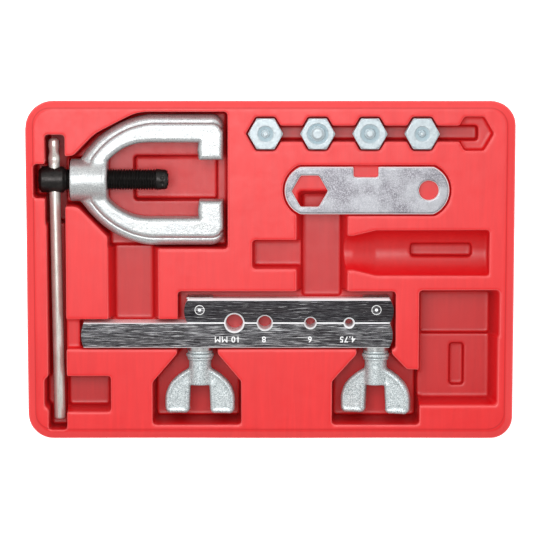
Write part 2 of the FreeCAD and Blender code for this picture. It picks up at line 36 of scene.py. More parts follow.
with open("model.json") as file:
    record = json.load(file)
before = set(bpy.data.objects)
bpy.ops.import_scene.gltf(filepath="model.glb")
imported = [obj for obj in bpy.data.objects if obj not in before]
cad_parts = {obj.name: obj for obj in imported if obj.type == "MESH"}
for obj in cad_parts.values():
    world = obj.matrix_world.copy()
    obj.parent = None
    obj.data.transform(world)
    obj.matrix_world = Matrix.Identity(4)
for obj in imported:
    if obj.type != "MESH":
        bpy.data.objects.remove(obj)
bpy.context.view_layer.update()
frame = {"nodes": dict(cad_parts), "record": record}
NODES = frame["nodes"]


# --- materials -------------------------------------------------------------------------------


class Shader:
    """A Principled material with procedural colour, roughness and bump, in object coordinates."""

    def __init__(self, name, **fixed):
        self.material = bpy.data.materials.new(name)
        self.material.use_nodes = True
        self.tree = self.material.node_tree
        self.bsdf = self.tree.nodes["Principled BSDF"]
        for key, value in fixed.items():
            self.bsdf.inputs[key].default_value = value
        self.where = self.node("ShaderNodeTexCoord").outputs["Object"]
        self.normal = None

    def feed(self, socket, value):
        """Links a socket to another, or sets it to a constant."""
        if isinstance(value, bpy.types.NodeSocket):
            self.tree.links.new(value, socket)
        else:
            socket.default_value = value

    def node(self, kind, **inputs):
        made = self.tree.nodes.new(kind)
        for key, value in inputs.items():
            self.feed(made.inputs[key], value)
        return made

    def link(self, out, name):
        self.tree.links.new(out, self.bsdf.inputs[name])

    def place(self, size, stretch=(1, 1, 1)):
        """Object coordinates in units of size millimetres, longer where they are stretched."""
        scale = tuple(1 / (size * MM * s) for s in stretch)
        return self.node("ShaderNodeMapping", Vector=self.where, Scale=scale).outputs["Vector"]

    def noise(self, size, detail, rough, stretch=(1, 1, 1), distort=0.0):
        """Noise whose grains measure about size millimetres; stretch lengthens them."""
        made = self.node("ShaderNodeTexNoise", Vector=self.place(size, stretch), Scale=1.0, Detail=detail,
                         Roughness=rough, Distortion=distort)
        return made.outputs["Fac"]

    def cells(self, size):
        """Distance from the middle of each of the cells, which measure about size millimetres."""
        return self.node("ShaderNodeTexVoronoi", Vector=self.place(size), Scale=1.0).outputs["Distance"]

    def ramp(self, fac, stops):
        """A colour or grey ramp: stops are (position, colour or grey)."""
        made = self.node("ShaderNodeValToRGB", Fac=fac)
        elements = made.color_ramp.elements
        while len(elements) < len(stops):
            elements.new(0.5)
        for element, (position, value) in zip(elements, stops):
            element.position = position
            grey = isinstance(value, (int, float))
            element.color = (value, value, value, 1) if grey else (*value, 1)
        return made.outputs["Color"]

    def mix(self, fac, a, b, blend="MIX"):
        made = self.tree.nodes.new("ShaderNodeMix")
        made.data_type = "RGBA"
        made.blend_type = blend
        self.feed(made.inputs[0], fac)
        for socket, value in ((made.inputs[6], a), (made.inputs[7], b)):
            self.feed(socket, (*value, 1) if isinstance(value, tuple) else value)
        return made.outputs[2]

    def math(self, operation, a, b=0.0):
        made = self.tree.nodes.new("ShaderNodeMath")
        made.operation = operation
        self.feed(made.inputs[0], a)
        self.feed(made.inputs[1], b)
        return made.outputs[0]

    def bump(self, height, depth, strength=1.0):
        """Adds relief of about depth millimetres."""
        made = self.node("ShaderNodeBump", Height=height, Distance=depth * MM, Strength=strength)
        if self.normal is not None:
            self.tree.links.new(self.normal, made.inputs["Normal"])
        self.normal = made.outputs["Normal"]
        self.link(self.normal, "Normal")

    def colour(self, out):
        self.link(out, "Base Color")

    def upright(self, full, none):
        """1 where the surface is steep and 0 where it is level."""
        facing = self.node("ShaderNodeTexCoord").outputs["Normal"]
        up = self.node("ShaderNodeSeparateXYZ", Vector=facing).outputs["Z"]
        return self.ramp(up, ((full, 1.0), (none, 0.0)))

    def from_edge(self, half_x, half_y, radius):
        """0.5 on a rounded rectangle of those half sizes in millimetres, 1 at 5 mm outside it."""
        split = self.node("ShaderNodeSeparateXYZ", Vector=self.where)
        sides = []
        for axis, half in (("X", half_x), ("Y", half_y)):
            past = self.math("SUBTRACT", self.math("ABSOLUTE", split.outputs[axis]), (half - radius) * MM)
            past = self.math("MAXIMUM", past, 0.0)
            sides.append(self.math("MULTIPLY", past, past))
        reach = self.math("SQRT", self.math("ADD", *sides))
        return self.math("ADD", self.math("MULTIPLY", reach, 100.0), 0.5 - radius * 0.1)

    def rough(self, fac, low, high):
        """Roughness from low to high over the usual span of a noise."""
        self.link(self.ramp(fac, ((0.25, low), (0.75, high))), "Roughness")


# The tray's half sizes and the place of the crease inside its edge, in millimetres.
TRAY_HALF = (137.0, 95.5)
CREASE_IN = 4.9
CREASE_RADIUS = 9.6


def tray_plastic():
    """Saturated red under a white sheen, with a painted highlight along the rims, painted shade deepening
    down the pockets' walls and floors, and a crease near the tray's edge drawn with a painted shade line.
    """
    s = Shader("tray_plastic", IOR=1.56)
    broad = s.noise(38, 2, 0.5)
    flow = s.noise(3.5, 4, 0.6, stretch=(1, 12, 1), distort=0.6)
    base = s.ramp(broad, ((0.3, (0.69, 0.006, 0.008)), (0.7, (0.735, 0.009, 0.011))))
    base = s.mix(0.35, base, s.ramp(flow, ((0.35, (0.62, 0.005, 0.007)), (0.7, (0.79, 0.013, 0.014)))))
    height = s.node("ShaderNodeSeparateXYZ", Vector=s.place(40)).outputs["Z"]
    # Painted shade: the red is darkened on the pockets' lower surfaces, most between about 18 and 25 mm
    # up.
    painted_depth_shade = s.ramp(height, ((0.26, 1.0), (0.46, 0.74), (0.62, 0.74), (0.86, 0.95), (0.95, 1.0)))
    base = s.mix(1.0, base, painted_depth_shade, "MULTIPLY")
    # Steep walls get a deeper red with painted shade that darkens the lower they are.
    wall_red_with_painted_shade = s.ramp(height, ((0.30, (0.36, 0.002, 0.004)), (0.62, (0.50, 0.003, 0.006)),
                           (0.93, (0.78, 0.005, 0.009))))
    base = s.mix(s.upright(0.35, 0.80), base, wall_red_with_painted_shade)
    # Painted highlight: a pale pink band on the steep rounded rims near the top.
    rim = s.math("MULTIPLY", s.upright(0.84, 0.975), s.ramp(height, ((0.87, 0.0), (0.925, 0.55))))
    base = s.mix(rim, base, (0.93, 0.17, 0.17))
    edge = s.from_edge(*(half - CREASE_IN for half in TRAY_HALF), CREASE_RADIUS)
    # Painted shade: a dark line along the crease inside the tray's edge.
    painted_crease_shade = s.ramp(edge, ((0.45, 0.0), (0.485, 1.0), (0.515, 1.0), (0.55, 0.0)))
    s.colour(s.mix(s.math("MULTIPLY", painted_crease_shade, 0.45), base, (0.35, 0.003, 0.004)))
    s.rough(s.noise(7, 4, 0.6), 0.36, 0.47)
    s.bump(s.ramp(edge, ((0.5, 1.0), (0.62, 0.85), (1.0, 0.0))), 0.35, 0.5)
    s.bump(broad, 0.35, 0.5)
    s.bump(s.noise(4.5, 3, 0.5), 0.05, 0.6)
    s.bump(s.noise(0.55, 3, 0.6), 0.02, 0.6)
    return s.material


def forged_zinc():
    """The yoke's bright plating over a forged skin."""
    s = Shader("forged_zinc", Metallic=0.65)
    lumps = s.noise(2.6, 4, 0.62)
    speck = s.noise(0.5, 4, 0.7)
    base = s.ramp(speck, ((0.34, (0.26, 0.28, 0.29)), (0.50, (0.51, 0.53, 0.53)),
                          (0.66, (0.72, 0.73, 0.72))))
    base = s.mix(s.ramp(s.noise(14, 3, 0.6), ((0.45, 0.0), (0.72, 0.25))), base, (0.50, 0.53, 0.56))
    s.colour(base)
    s.rough(s.noise(1.4, 4, 0.65), 0.32, 0.50)
    s.bump(lumps, 0.16, 0.6)
    s.bump(s.ramp(s.cells(0.9), ((0.0, 0.0), (0.5, 1.0))), 0.05, 0.6)
    s.bump(speck, 0.04, 0.7)
    return s.material


def cast_zinc():
    """The wing nuts' rougher, speckled plating."""
    s = Shader("cast_zinc", Metallic=0.5)
    speck = s.noise(0.55, 4, 0.7)
    s.colour(s.ramp(speck, ((0.36, (0.17, 0.21, 0.22)), (0.49, (0.46, 0.51, 0.52)),
                            (0.62, (0.80, 0.84, 0.84)))))
    s.rough(s.noise(0.9, 4, 0.65), 0.32, 0.50)
    s.bump(s.noise(1.6, 3, 0.5), 0.06, 0.5)
    s.bump(speck, 0.06, 0.7)
    return s.material


def black_steel():
    """The black oxide of the forcing screw and its nose."""
    s = Shader("black_steel", Metallic=0.75)
    s.colour(s.ramp(s.noise(2.2, 4, 0.6), ((0.3, (0.013, 0.012, 0.012)), (0.75, (0.036, 0.032, 0.030)))))
    s.rough(s.noise(1.2, 3, 0.6), 0.26, 0.46)
    s.bump(s.noise(0.4, 3, 0.6), 0.018, 0.7)
    return s.material


def nickel():
    """Warm plating, drawn lengthwise along the cross handle."""
    s = Shader("nickel", Metallic=0.6)
    lengthwise = s.noise(0.16, 3, 0.6, stretch=(1, 60, 1))
    s.colour(s.ramp(s.noise(9, 3, 0.5), ((0.3, (0.60, 0.58, 0.53)), (0.7, (0.72, 0.70, 0.66)))))
    s.rough(lengthwise, 0.22, 0.36)
    s.bump(lengthwise, 0.008, 0.5)
    s.bump(s.noise(3, 3, 0.5, stretch=(1, 3, 1)), 0.04, 0.4)
    return s.material


def jaw_steel(name, lift):
    """Dark steel, ground lengthwise with pale scratches, with a painted highlight on its steep edges.
    Lift brightens it.
    """
    s = Shader(name)
    broad = s.noise(0.42, 6, 0.80, stretch=(28, 1, 1), distort=0.15)
    lines = s.noise(0.34, 2, 0.6, stretch=(34, 1, 1), distort=0.2)
    patch = s.noise(9, 3, 0.6, stretch=(3, 1, 1))
    base = s.ramp(broad, ((0.36 - lift, (0.008, 0.007, 0.009)), (0.49 - lift, (0.055, 0.053, 0.058)),
                          (0.58 - lift, (0.21, 0.21, 0.22)), (0.68 - lift, (0.85, 0.85, 0.87))))
    base = s.mix(s.ramp(patch, ((0.42, 0.0), (0.68, 0.55))), base, (0.035, 0.030, 0.032))
    base = s.mix(s.ramp(lines, ((0.60 - lift, 0.0), (0.68 - lift, 0.75))), base, (0.85, 0.85, 0.86))
    # Painted highlight: steep faces are mixed to near white and made less metallic.
    side = s.upright(0.90, 0.97)
    s.colour(s.mix(side, base, (0.90, 0.90, 0.91)))
    s.link(s.ramp(side, ((0.0, 1.0), (1.0, 0.25))), "Metallic")
    s.rough(broad, 0.22, 0.36)
    s.bump(lines, 0.012, 0.55)
    s.bump(broad, 0.030, 0.45)
    return s.material


def zinc_steel():
    """Plain plated steel of the clamp bolts and washers."""
    s = Shader("zinc_steel", Metallic=0.95)
    s.colour(s.ramp(s.noise(1.8, 4, 0.6), ((0.3, (0.38, 0.39, 0.40)), (0.7, (0.55, 0.55, 0.54)))))
    s.rough(s.noise(0.8, 3, 0.6), 0.22, 0.40)
    s.bump(s.noise(0.5, 3, 0.6), 0.02, 0.6)
    return s.material


def adapter_zinc():
    """Bluish plating, with painted highlights on the adapters' cones and chamfers."""
    s = Shader("adapter_zinc", Metallic=0.4)
    mottle = s.noise(1.3, 4, 0.6)
    base = s.ramp(mottle, ((0.3, (0.26, 0.30, 0.32)), (0.72, (0.40, 0.45, 0.47))))
    # Painted highlight: steep faces, the cones and chamfers, are mixed to pale blue-white.
    s.colour(s.mix(s.upright(0.55, 0.97), base, (0.66, 0.76, 0.80)))
    s.rough(s.noise(0.7, 3, 0.6), 0.26, 0.42)
    s.bump(mottle, 0.06, 0.6)
    s.bump(s.noise(0.22, 2, 0.6), 0.012, 0.6)
    return s.material


def spanner_zinc():
    """Speckled, cloudy plating with painted highlights on its rolled edges."""
    s = Shader("spanner_zinc", Metallic=0.9)
    speck = s.noise(0.55, 4, 0.7)
    base = s.ramp(speck, ((0.34, (0.10, 0.10, 0.115)), (0.5, (0.20, 0.195, 0.215)),
                          (0.66, (0.38, 0.375, 0.40))))
    base = s.mix(s.ramp(s.noise(16, 3, 0.6), ((0.42, 0.0), (0.62, 0.6))), base, (0.38, 0.39, 0.41))
    # Painted highlight: steep faces, the rolled edges, are mixed to near white and made less metallic.
    side = s.upright(0.72, 0.965)
    s.colour(s.mix(side, base, (0.93, 0.94, 0.96)))
    s.link(s.ramp(side, ((0.0, 0.9), (1.0, 0.35))), "Metallic")
    s.rough(s.noise(0.9, 3, 0.6), 0.32, 0.50)
    s.bump(speck, 0.05, 0.7)
    s.bump(s.noise(5, 3, 0.5), 0.12, 0.4)
    return s.material


def edge_steel():
    """The ground bevel along the bar: ground steel, whose near-white colour also paints in the highlight
    it reflects.
    """
    s = Shader("edge_steel", Metallic=0.2)
    lines = s.noise(0.5, 3, 0.6, stretch=(20, 1, 1))
    # Near-white colour, partly a painted highlight.
    s.colour(s.ramp(lines, ((0.3, (0.88, 0.88, 0.89)), (0.7, (0.96, 0.96, 0.96)))))
    s.rough(s.noise(0.4, 2, 0.6, stretch=(20, 1, 1)), 0.35, 0.5)
    return s.material


def stamped_mark():
    """The bright floor of a stamped mark."""
    s = Shader("stamped_mark", Metallic=0.3)
    s.colour(s.ramp(s.noise(0.5, 3, 0.6), ((0.3, (0.78, 0.78, 0.79)), (0.7, (0.96, 0.96, 0.96)))))
    s.rough(s.noise(0.4, 2, 0.6), 0.35, 0.55)
    return s.material


MATERIALS = {
    "tray_plastic": tray_plastic(),
    "forged_zinc": forged_zinc(),
    "cast_zinc": cast_zinc(),
    "black_steel": black_steel(),
    "nickel": nickel(),
    "jaw_steel": jaw_steel("jaw_steel", 0.008),
    "jaw_steel_dark": jaw_steel("jaw_steel_dark", -0.055),
    "zinc_steel": zinc_steel(),
    "adapter_zinc": adapter_zinc(),
    "spanner_zinc": spanner_zinc(),
}
SLOT_OF = {s["node"]: s["material_slot"] for s in frame["record"]["subparts"]}
BODY_OF = {n: b for b, ns in frame["record"]["behaviour"]["bodies"].items() for n in ns}


def paint(obj, material):
    obj.data.materials.clear()
    obj.data.materials.append(material)


def stand_for(obj, node, material=None):
    """Paints obj, makes it stand for a CAD node and ride on the node's body."""
    paint(obj, MATERIALS[material or SLOT_OF[node]])
    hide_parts(node)
    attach(obj, BODY_OF[node])


# --- mesh helpers ----------------------------------------------------------------------------


def new_object(name, mesh):
    obj = bpy.data.objects.new(name, mesh)
    bpy.context.scene.collection.objects.link(obj)
    return obj


def mesh_from(name, verts, faces):
    mesh = bpy.data.meshes.new(name)
    mesh.from_pydata(verts, [], faces)
    mesh.update()
    return new_object(name, mesh)


def settle(obj):
    """Applies every modifier of obj."""
    graph = bpy.context.evaluated_depsgraph_get()
    made = bpy.data.meshes.new_from_object(obj.evaluated_get(graph))
    obj.modifiers.clear()
    obj.data = made
    return obj


def outer_shell(node):
    """A welded copy of a CAD node's outside, without any sealed inner skin."""
    bm = bmesh.new()
    bm.from_mesh(NODES[node].data)
    bmesh.ops.remove_doubles(bm, verts=bm.verts, dist=1e-6)
    seen, groups = set(), []
    for start in bm.verts:
        if start in seen:
            continue
        group, stack = [], [start]
        seen.add(start)
        while stack:
            v = stack.pop()
            group.append(v)
            for e in v.link_edges:
                other = e.other_vert(v)
                if other not in seen:
                    seen.add(other)
                    stack.append(other)
        reach = max(v.co.x for v in group) - min(v.co.x for v in group)
        groups.append((reach, group))
    keep = set(max(groups, key=lambda g: g[0])[1])
    bmesh.ops.delete(bm, geom=[v for v in bm.verts if v not in keep], context="VERTS")
    mesh = bpy.data.meshes.new(node + "_shell")
    bm.to_mesh(mesh)
    bm.free()
    return mesh


def thin(obj, triangles):
    """Brings obj down to about that many triangles, where it is flattest."""
    count = sum(len(p.vertices) - 2 for p in obj.data.polygons)
    if count > triangles:
        decimate = obj.modifiers.new("thin", "DECIMATE")
        decimate.ratio = triangles / count
        settle(obj)


def soften(obj, voxel, passes, triangles):
    """Rounds every edge of obj: fine even quads, smoothed, then thinned out where it is flat."""
    size = voxel * 1.0
    remesh = obj.modifiers.new("even", "REMESH")
    remesh.mode = "VOXEL"
    remesh.voxel_size = size * MM
    smooth = obj.modifiers.new("soft", "SMOOTH")
    smooth.factor = 0.5
    smooth.iterations = max(1, round(passes / (1.0)))
    settle(obj)
    thin(obj, triangles)
    return obj


def eased(obj, width, sharpest):
    """Gives obj's edges that turn by more than sharpest degrees a small round, width millimetres wide."""
    bevel = obj.modifiers.new("ease", "BEVEL")
    bevel.width = width * MM
    bevel.segments = 3
    bevel.limit_method = "ANGLE"
    bevel.angle_limit = math.radians(sharpest)
    return obj


def finish_surface(obj):
    """Smooth shading that keeps the flats flat."""
    obj.data.shade_smooth()
    weigh = obj.modifiers.new("weighted", "WEIGHTED_NORMAL")
    weigh.weight = 60
    weigh.keep_sharp = True


def ripple(obj, size, depth):
    """Presses the surface in by up to depth millimetres, in waves of about size millimetres."""
    mesh = obj.data
    normals = [v.normal.copy() for v in mesh.vertices]
    for v, n in zip(mesh.vertices, normals):
        v.co -= n * (0.5 + 0.5 * noise.noise(v.co / (size * MM))) * depth * MM
    mesh.update()


def soft_piece(node, name, voxel, passes, triangles, ripples=()):
    """A softened piece that stands for a CAD node."""
    obj = soften(new_object(name, outer_shell(node)), voxel, passes, triangles)
    for size, depth in ripples:
        ripple(obj, size, depth)
    finish_surface(obj)
    stand_for(obj, node)


# --- forged pieces, carved from signed distances in millimetres --------------------------------


def arc_through(a, b, c, parts=20):
    """Points after a along the arc from a through b to c."""
    (ax, ay), (bx, by), (cx, cy) = a, b, c
    d = 2 * (ax * (by - cy) + bx * (cy - ay) + cx * (ay - by))
    aa, bb, cc = ax * ax + ay * ay, bx * bx + by * by, cx * cx + cy * cy
    x = (aa * (by - cy) + bb * (cy - ay) + cc * (ay - by)) / d
    y = (aa * (cx - bx) + bb * (ax - cx) + cc * (bx - ax)) / d
    radius = math.hypot(ax - x, ay - y)
    start = math.atan2(ay - y, ax - x)
    middle = (math.atan2(by - y, bx - x) - start) % math.tau
    whole = (math.atan2(cy - y, cx - x) - start) % math.tau
    if middle > whole:
        whole -= math.tau
    turns = [start + whole * (i + 1) / parts for i in range(parts)]
    return [(x + radius * math.cos(t), y + radius * math.sin(t)) for t in turns]


def outline(start, steps):
    """Points along lines (x, y) and arcs (via x, via y, x, y)."""
    points = [start]
    for step in steps:
        if len(step) == 4:
            points += arc_through(points[-1], step[:2], step[2:])
        else:
            points.append(step)
    return points


def line_distance(x, y, points):
    """Distance from each place to a chain of points."""
    best = np.full(np.broadcast(x, y).shape, 1e9)
    for (ax, ay), (bx, by) in zip(points, points[1:]):
        dx, dy = bx - ax, by - ay
        t = np.clip(((x - ax) * dx + (y - ay) * dy) / (dx * dx + dy * dy), 0, 1)
        best = np.minimum(best, np.hypot(x - ax - t * dx, y - ay - t * dy))
    return best


def flat_field(x, y, points):
    """Signed distance to a closed outline, negative inside."""
    ring = points + points[:1]
    inside = np.zeros(np.broadcast(x, y).shape, dtype=bool)
    for (ax, ay), (bx, by) in zip(ring, ring[1:]):
        if ay != by:
            crossing = ((ay > y) != (by > y)) & (x < (bx - ax) * (y - ay) / (by - ay) + ax)
            inside ^= crossing
    distance = line_distance(x, y, ring)
    return np.where(inside, -distance, distance)


def slab(across, along, half, radius):
    """A form bounded by across <= 0 and |along| <= half, with rounded edges."""
    a, b = across + radius, np.abs(along) - half + radius
    return np.minimum(np.maximum(a, b), 0) + np.hypot(np.maximum(a, 0), np.maximum(b, 0)) - radius


def blend(a, b, reach):
    """Joins two forms with a fillet."""
    near = np.maximum(reach - np.abs(a - b), 0) / reach
    return np.minimum(a, b) - near * near * reach / 4


def carved(name, low, high, voxel, field):
    """The surface where field(x, y, z) is zero, as an object."""
    size = voxel * 1.0
    axes = [np.arange(a - 2 * size, b + 3 * size, size) for a, b in zip(low, high)]
    x, y, z = np.meshgrid(*axes, indexing="ij", sparse=True)
    values = np.clip(field(x, y, z), -3 * size, 3 * size).astype(np.float32)
    grid = openvdb.FloatGrid(3 * size)
    grid.copyFromArray(np.ascontiguousarray(values))
    points, quads = grid.convertToQuads(0.0)
    start = np.array([a[0] for a in axes])
    return mesh_from(name, ((points * size + start) * MM).tolist(), quads[:, ::-1].tolist())


def forge(obj, node, material, triangles, ripples):
    """Thins, roughens and finishes a forged piece that stands for a CAD node."""
    thin(obj, triangles)
    for size, depth in ripples:
        ripple(obj, size, depth)
    fix_normals(obj)
    finish_surface(obj)
    stand_for(obj, node, material)


def yoke_piece():
    """C-shaped forging: a flat inner face, a fine groove, a sloping outer band, hub, collar and feet."""
    low, high = [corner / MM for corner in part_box("yoke")]
    axis_y, axis_z = (low.y + high.y) / 2, (low.z + high.z) / 2
    x0, x1, half = low.x, high.x, high.y - axis_y
    thick, bore = 7.75, 6.06
    foot = [(x1, 11.6), (x1 - 13.2, 11.6), (x1 - 13.9, 17.0), (x1 - 13.4, half - 15.2),
            (x0 + 46.0, half - 15.2), (x0 + 29.4, half - 19.2, x0 + 20.2, 9.0), (x0 + 19.6, -2.0)]
    arm = outline((x0 + 12.0, -2.0), [
        (x0 + 7.0, 12.4), (x0 + 19.6, 26.2, x0 + 45.0, half), (x1 - 6.5, half),
        (x1 - 1.9, half - 1.9, x1, half - 6.5)] + foot)
    ridge = outline((x0 + 12.3, 12.1), [
        (x0 + 23.0, 23.4, x0 + 46.4, half - 4.1), (x1 - 6.0, half - 4.1),
        (x1 - 2.3, half - 5.4, x1 - 0.4, half - 7.9)])
    face = ridge + outline((x1 + 0.6, half - 9.5), foot) + [(x0 + 12.0, -2.0)]

    def field(x, y, z):
        v, w = np.abs(y - axis_y), z - axis_z
        inside = flat_field(x, v, arm)
        depth = np.clip(-inside, 0, 6)
        groove = 0.5 * np.exp(-((line_distance(x, v, ridge) / 0.5) ** 2))
        band = slab(inside, w, 4.6 + 0.40 * depth, 2.4)
        main = slab(flat_field(x, v, face), w, thick, 2.6)
        arms = np.minimum(band, main) + groove
        reach = np.hypot(v, w)
        hub = slab(np.hypot(v + 0.25 * np.sign(y - axis_y), w) - 11.75, x - x0 - 10.2, 10.2, 1.4)
        hub = np.maximum(hub, np.hypot(x - x0 - 70.0, reach) - 70.0)
        collar = slab(np.hypot(v, w * 1.06) - 12.5, x - x0 - 19.6, 1.6, 1.5)
        body = blend(np.maximum(arms, slab(inside, w, thick, 1.0)), blend(hub, collar, 0.5), 1.8)
        return np.maximum(body, bore - reach)

    obj = carved("yoke_forging", low, high, 0.34, field)
    forge(obj, "yoke", "forged_zinc", 170000, ((6.0, 0.24), (1.7, 0.07)))


def wing_nut_piece(side, turn):
    """Collar, barrel and two dished wings, turned that many degrees about the bolt."""
    node = "wing_nut_" + side
    low, high = [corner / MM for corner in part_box(node)]
    axis_x, axis_z = (low.x + high.x) / 2, (low.z + high.z) / 2
    face, tip = high.y, low.y
    gap, bore = tip + 16.4, 4.06
    wing = outline((0.0, gap + 9.0), [
        (5.8, gap + 9.0), (11.6, gap + 5.6, 16.9, gap + 0.2), (18.9, gap - 4.4, 19.6, gap - 9.4),
        (19.5, gap - 13.6), (18.4, tip + 0.7, 15.6, tip + 0.05), (8.4, tip + 0.05),
        (6.6, tip + 0.9, 6.0, tip + 3.4), (5.5, gap - 1.2), (5.2, gap - 0.3, 4.4, gap), (0.0, gap)])
    angle = math.radians(turn)

    def field(x, y, z):
        u = (x - axis_x) * math.cos(angle) - (z - axis_z) * math.sin(angle)
        w = (x - axis_x) * math.sin(angle) + (z - axis_z) * math.cos(angle)
        inside = flat_field(np.abs(u), y, wing)
        dish = 0.35 * np.exp(-(((-inside - 1.5) / 1.0) ** 2))
        wings = slab(inside, w, 3.0 + dish, 1.4)
        reach = np.hypot(u, w)
        rim = slab(reach - 6.9, y - face + 0.8, 0.8, 0.4)
        collar = slab(reach - 7.7, y - face + 2.75, 0.85, 0.4)
        neck = slab(reach - 7.0, y - face + 4.6, 0.65, 0.3)
        barrel = slab(reach - 6.1, y - (face + gap) / 2, (face - gap) / 2, 0.6)
        body = np.minimum(blend(np.minimum(barrel, neck), wings, 1.6), np.minimum(rim, collar))
        return np.maximum(body, bore - reach)

    obj = carved("wing_nut_forging_" + side, low, high, 0.27, field)
    forge(obj, node, "cast_zinc", 90000, ((3.2, 0.12), (1.1, 0.06)))


# --- turned pieces ---------------------------------------------------------------------------


def swept(name, rings, closed_ends=True):
    """A skin over rings of points, all the same length."""
    verts = [p for ring in rings for p in ring]
    n = len(rings[0])
    faces = []
    for i in range(len(rings) - 1):
        for j in range(n):
            k = (j + 1) % n
            faces.append((i * n + j, i * n + k, (i + 1) * n + k, (i + 1) * n + j))
    if closed_ends:
        faces.append(tuple(reversed(range(n))))
        faces.append(tuple(range(len(verts) - n, len(verts))))
    return mesh_from(name, verts, faces)


def fix_normals(obj):
    """Turns every face outwards."""
    bm = bmesh.new()
    bm.from_mesh(obj.data)
    bmesh.ops.recalc_face_normals(bm, faces=bm.faces)
    bm.to_mesh(obj.data)
    bm.free()
    obj.data.update()


def circle(x, y, z, radius, segments):
    """Points around the x axis line through y and z."""
    turns = [2 * math.pi * j / segments for j in range(segments)]
    return [(x, y + radius * math.cos(a), z + radius * math.sin(a)) for a in turns]


def thread_piece():
    """The forcing screw's threaded length: a real right-hand helix that runs out before the tip."""
    low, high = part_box("forcing_screw")
    y, z, tip = (low.y + high.y) / 2, (low.z + high.z) / 2, high.x
    pitch, crest, depth = 1.5 * MM, 6.0 * MM, 0.85 * MM
    start, run_out = low.x + 14.2 * MM, tip - 5.6 * MM
    segments = 72
    step = 0.125 * MM
    rows = int((tip - start) / step)

    def radius(x, turn):
        if x > run_out:
            t = (x - run_out) / (tip - run_out)
            return crest - 0.1 * MM - 0.5 * MM * t - max(0.0, t - 0.8) * 2.2 * MM
        tooth = abs(((x / pitch - turn) % 1.0) * 2 - 1)
        cut = depth * min(1.0, max(0.0, 1.15 * tooth - 0.06))
        return crest - cut * min(1.0, max(0.0, (run_out - x) / (1.2 * MM)))

    rings = []
    for i in range(rows + 1):
        x = start + (tip - start) * i / rows
        ring = []
        for j in range(segments):
            a, r = 2 * math.pi * j / segments, radius(x, j / segments)
            ring.append((x, y + r * math.cos(a), z + r * math.sin(a)))
        rings.append(ring)
    mouth, bore, bottom = 3.9 * MM, 3.56 * MM, tip - 6 * MM
    rings += [circle(x, y, z, r, segments) for x, r in ((tip, mouth), (tip, bore), (bottom, bore))]
    obj = swept("screw_thread", rings)
    stake(obj, y, z, tip - 2.6 * MM, crest)
    return obj


def stake(obj, y, z, x, radius):
    """Presses the round punch marks that hold the nose."""
    reach, depth = 1.35 * MM, 0.75 * MM
    for degrees in (75, 110, 255, 290):
        a = math.radians(degrees)
        out = Vector((0, math.cos(a), math.sin(a)))
        centre = Vector((x, y, z)) + out * radius
        for v in obj.data.vertices:
            d = (v.co - centre).length
            if d < reach:
                v.co -= out * (1 - (d / reach) ** 2) * depth


def head_piece():
    """The screw's cross-bored head, cut from the CAD shape and softened."""
    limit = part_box("forcing_screw")[0].x + 15.6 * MM
    bm = bmesh.new()
    bm.from_mesh(NODES["forcing_screw"].data)
    bmesh.ops.remove_doubles(bm, verts=bm.verts, dist=1e-6)
    geometry = bm.verts[:] + bm.edges[:] + bm.faces[:]
    cut = bmesh.ops.bisect_plane(bm, geom=geometry, plane_co=(limit, 0, 0), plane_no=(1, 0, 0),
                                 clear_outer=True)
    edges = [e for e in cut["geom_cut"] if isinstance(e, bmesh.types.BMEdge)]
    bmesh.ops.holes_fill(bm, edges=edges)
    bmesh.ops.recalc_face_normals(bm, faces=bm.faces)
    mesh = bpy.data.meshes.new("screw_head")
    bm.to_mesh(mesh)
    bm.free()
    obj = new_object("screw_head", mesh)
    return soften(obj, 0.3, 5, 30000)


def cross_handle_piece():
    """The sliding cross handle: round, with pinched flats near its short end."""
    low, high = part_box("tommy_bar")
    z, length = (low.z + high.z) / 2, high.y - low.y
    lean, pivot = math.radians(0.7), Vector((-120.9 * MM, 50 * MM, z))
    wide, r = 3.3 * MM, 3.1 * MM
    # Each stop: distance from the long end, half width, half height.
    stops = [
        (0.0, r - 0.9 * MM, r - 0.9 * MM),
        (0.9 * MM, r, r),
        (length - 14.3 * MM, r, r),
        (length - 12.2 * MM, wide, r - 0.85 * MM),
        (length - 10.8 * MM, wide, r - 0.95 * MM),
        (length - 7.6 * MM, r - 0.5 * MM, r - 0.45 * MM),
        (length - 4.2 * MM, r, r - 0.1 * MM),
        (length - 1.3 * MM, r - 0.25 * MM, r - 0.35 * MM),
        (length - 0.2 * MM, r - 1.4 * MM, r - 1.4 * MM),
    ]
    rows = []
    for (s0, a0, b0), (s1, a1, b1) in zip(stops, stops[1:]):
        parts = 2 if s1 - s0 < 2 * MM else (60 if s1 - s0 > 50 * MM else 10)
        for k in range(parts):
            t = k / parts
            rows.append((s0 + (s1 - s0) * t, a0 + (a1 - a0) * t, b0 + (b1 - b0) * t))
    rows.append(stops[-1])
    segments = 48
    rings = []
    for s, a, b in rows:
        ring = []
        for j in range(segments):
            t = 2 * math.pi * j / segments
            across, along = a * math.cos(t), low.y + s - pivot.y
            x = pivot.x + across * math.cos(lean) - along * math.sin(lean)
            y = pivot.y + across * math.sin(lean) + along * math.cos(lean)
            ring.append((x, y, z + b * math.sin(t)))
        rings.append(ring)
    obj = swept("cross_handle_bar", rings)
    return settle(eased(obj, 0.3, 28))


def turned_piece(obj, node, smooth_angle):
    """Finishes a turned piece that stands for a CAD node, sharp only where it bends more than that."""
    fix_normals(obj)
    obj.data.shade_smooth()
    obj.data.set_sharp_from_angle(angle=math.radians(smooth_angle))
    stand_for(obj, node)


# --- marks on the flaring bar ----------------------------------------------------------------

# How far a mark stands off the bar, its line across the bar and its height, and where each one is.
MARK_LIFT = 0.02 * MM
MARK_Y = -39.0
MARK_HEIGHT = 3.4
FONT_PER_CAPITAL = 1.38
SIZE_MARKS = (("mark_10", "10 MM", -24.0), ("mark_8", "8", -3.4), ("mark_6", "6", 22.4),
              ("mark_4_75", "4.75", 43.5))


